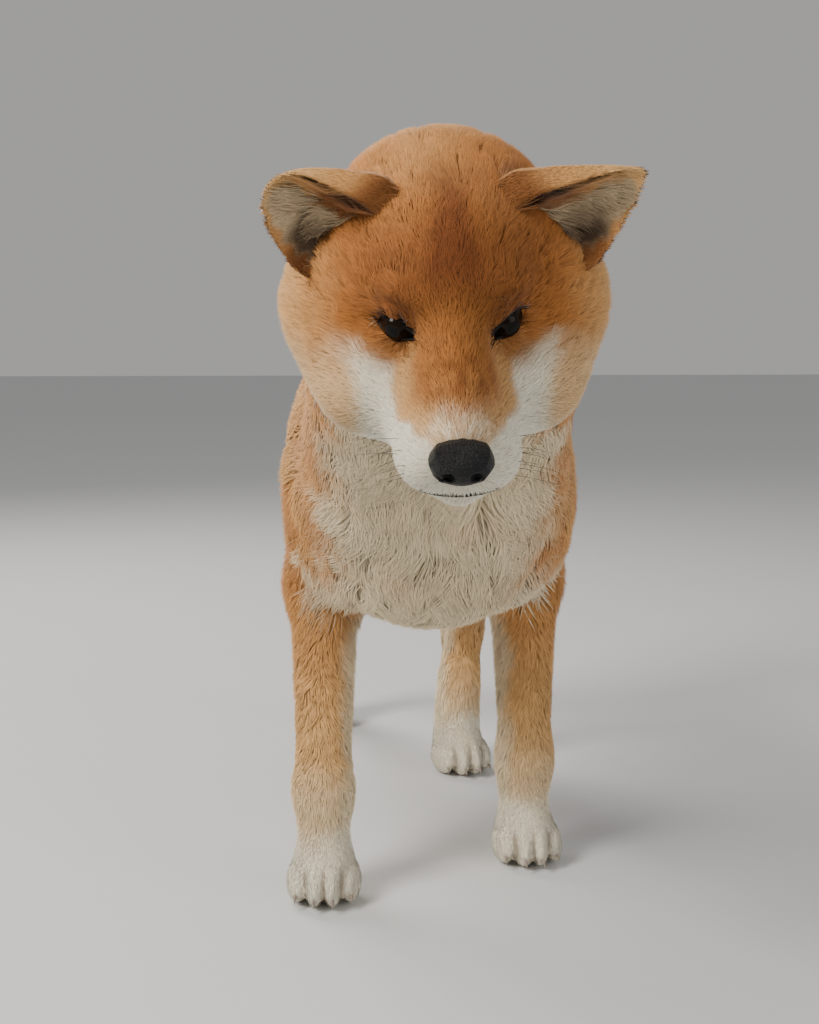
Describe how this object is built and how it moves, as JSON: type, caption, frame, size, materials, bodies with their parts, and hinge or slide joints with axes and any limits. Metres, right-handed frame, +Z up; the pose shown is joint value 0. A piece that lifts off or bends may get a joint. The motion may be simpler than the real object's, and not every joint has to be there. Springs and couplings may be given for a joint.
{
  "type": "shiba inu",
  "caption": "Life-size still model of a standing red shiba inu with its head lowered, ears turned out and tail curled over the back.",
  "frame": {"origin": "on the floor under the middle of the dog's bounding box", "axes": "+Z up, -Y the way the dog faces, +X the dog's left side"},
  "size_m": [0.1944, 0.7152, 0.4772],
  "materials": {
    "red_coat": "dense straight double coat, red above and cream below",
    "cream_coat": "short dense cream fur",
    "nose_leather": "moist pebbled black nose leather",
    "eye": "wet polished dark brown eye",
    "claw_horn": "smooth dark horn"
  },
  "bodies": {
    "root": {"ear_left": "red_coat", "ear_right": "red_coat", "eye_left": "eye", "eye_right": "eye", "foreleg_left_forearm": "red_coat", "foreleg_left_paw": "cream_coat", "foreleg_left_paw_claw_1": "claw_horn", "foreleg_left_paw_claw_2": "claw_horn", "foreleg_left_paw_claw_3": "claw_horn", "foreleg_left_paw_claw_4": "claw_horn", "foreleg_left_upper": "red_coat", "foreleg_right_forearm": "red_coat", "foreleg_right_paw": "cream_coat", "foreleg_right_paw_claw_1": "claw_horn", "foreleg_right_paw_claw_2": "claw_horn", "foreleg_right_paw_claw_3": "claw_horn", "foreleg_right_paw_claw_4": "claw_horn", "foreleg_right_upper": "red_coat", "head": "red_coat", "hindleg_left_hock": "red_coat", "hindleg_left_paw": "cream_coat", "hindleg_left_paw_claw_1": "claw_horn", "hindleg_left_paw_claw_2": "claw_horn", "hindleg_left_paw_claw_3": "claw_horn", "hindleg_left_paw_claw_4": "claw_horn", "hindleg_left_shank": "red_coat", "hindleg_left_thigh": "red_coat", "hindleg_right_hock": "red_coat", "hindleg_right_paw": "cream_coat", "hindleg_right_paw_claw_1": "claw_horn", "hindleg_right_paw_claw_2": "claw_horn", "hindleg_right_paw_claw_3": "claw_horn", "hindleg_right_paw_claw_4": "claw_horn", "hindleg_right_shank": "red_coat", "hindleg_right_thigh": "red_coat", "neck": "red_coat", "nose": "nose_leather", "tail_root": "red_coat", "tail_tip": "red_coat", "tail_top": "red_coat", "torso": "red_coat"}
  },
  "joints": []
}
